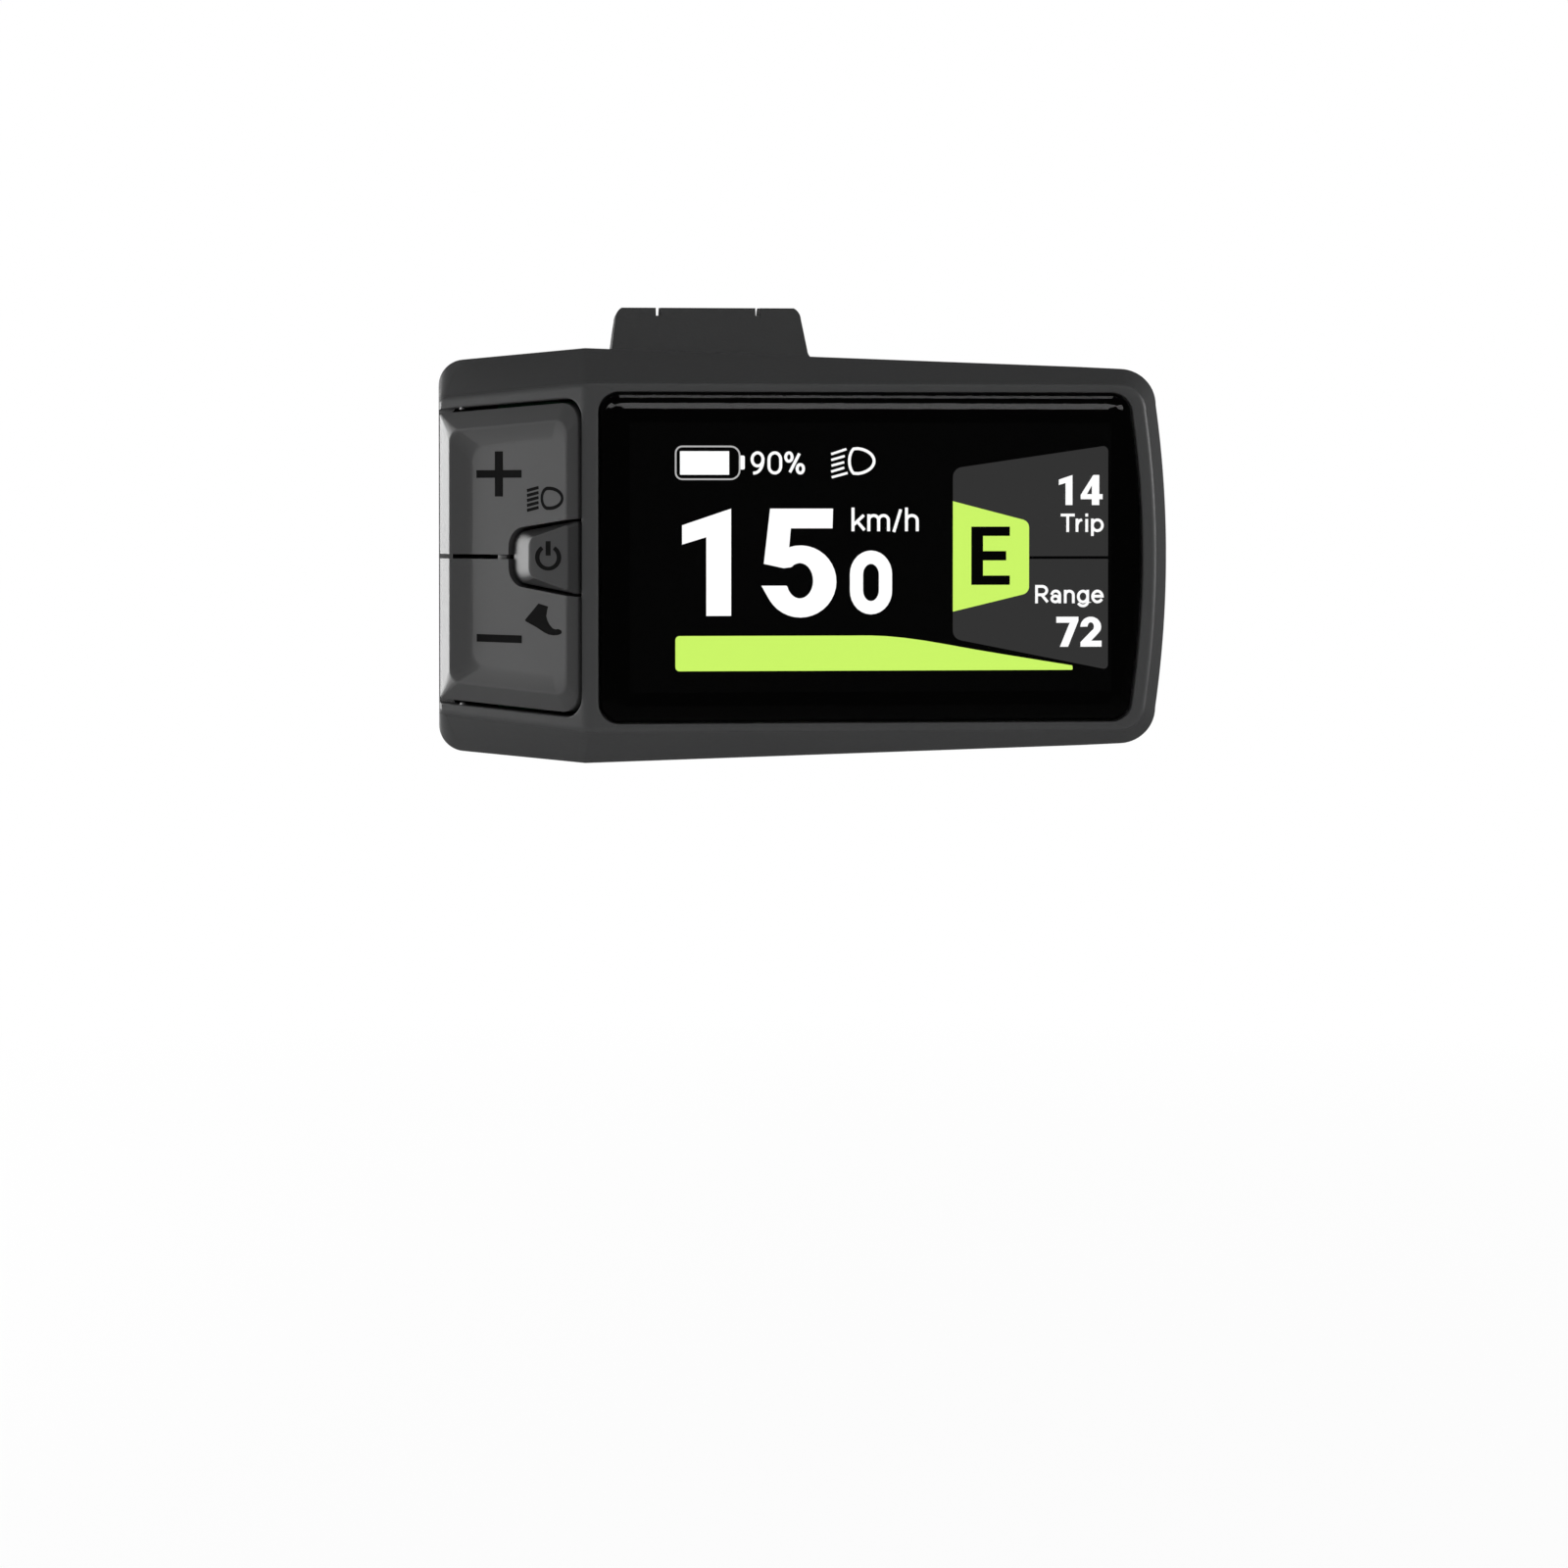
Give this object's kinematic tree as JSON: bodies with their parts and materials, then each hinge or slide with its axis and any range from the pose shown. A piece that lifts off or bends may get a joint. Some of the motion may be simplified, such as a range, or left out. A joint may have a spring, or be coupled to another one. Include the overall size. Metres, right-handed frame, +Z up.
{
  "type": "e-bike display",
  "caption": "Handlebar display for an electric bicycle: wide screen, three keys on a slanted side facet and a hinged handlebar clamp.",
  "frame": {"origin": "centre of the handlebar clamp's bore, halfway along the clamp", "axes": "+X along the bar to the rider's right, -Y towards the rider, who reads the screen, +Z up"},
  "size_m": [0.0902, 0.0497, 0.0579],
  "materials": {
    "shell": "fine-grained dark grey polycarbonate",
    "key": "satin grey moulded key",
    "power_key": "satin grey moulded key",
    "bracket": "glass-filled nylon",
    "rubber": "matt black elastomer",
    "cover_glass": "polished black-bordered cover glass",
    "tape": "black adhesive tape",
    "lcd": "display panel",
    "backlight": "white light guide",
    "board": "green solder mask",
    "chip": "black moulded package",
    "can": "tinned steel can",
    "connector": "ivory connector plastic",
    "flex": "amber film",
    "steel": "zinc-plated steel",
    "bolt_steel": "stainless steel",
    "brass": "brass"
  },
  "bodies": {
    "housing": {"front_housing": "shell", "back_housing": "shell", "housing_seal": "rubber", "housing_screws": "steel", "cover_glass": "cover_glass", "glass_tape": "tape", "lcd_panel": "lcd", "lcd_backlight": "backlight", "display_flex": "flex", "main_board": "board", "processor_chip": "chip", "radio_module": "can", "power_components": "chip", "flex_connectors": "connector", "board_socket": "connector", "board_screws": "steel", "key_mat": "rubber", "key_board": "board", "key_switches": "can", "key_flex": "flex", "cable_gland": "rubber", "clamp_bracket": "bracket", "bracket_screws": "steel", "bracket_pad": "rubber", "threaded_insert": "brass", "hinge_pin": "steel"},
    "strap": {"clamp_strap": "bracket", "strap_pad": "rubber"},
    "bolt": {"clamp_bolt": "bolt_steel", "bolt_washer": "bolt_steel"},
    "plus": {"plus_key": "key"},
    "minus": {"minus_key": "key"},
    "power": {"power_key": "power_key"}
  },
  "joints": [
    {"name": "strap_hinge", "type": "hinge", "parent": "housing", "child": "strap", "pos_m": [0, -0.004, 0.0161], "axis": [1, 0, 0], "range_deg": [0, 110]},
    {"name": "bolt_slide", "type": "slide", "parent": "strap", "child": "bolt", "axis": [0, 1, 0], "range_m": [0, 0.007]},
    {"name": "plus_press", "type": "slide", "parent": "housing", "child": "plus", "axis": [0.6428, 0.766, 0], "range_m": [0, 0.0008], "stiffness_N_per_m": 600},
    {"name": "minus_press", "type": "slide", "parent": "housing", "child": "minus", "axis": [0.6428, 0.766, 0], "range_m": [0, 0.0008], "stiffness_N_per_m": 600},
    {"name": "power_press", "type": "slide", "parent": "housing", "child": "power", "axis": [0.6428, 0.766, 0], "range_m": [0, 0.0008], "stiffness_N_per_m": 600}
  ]
}
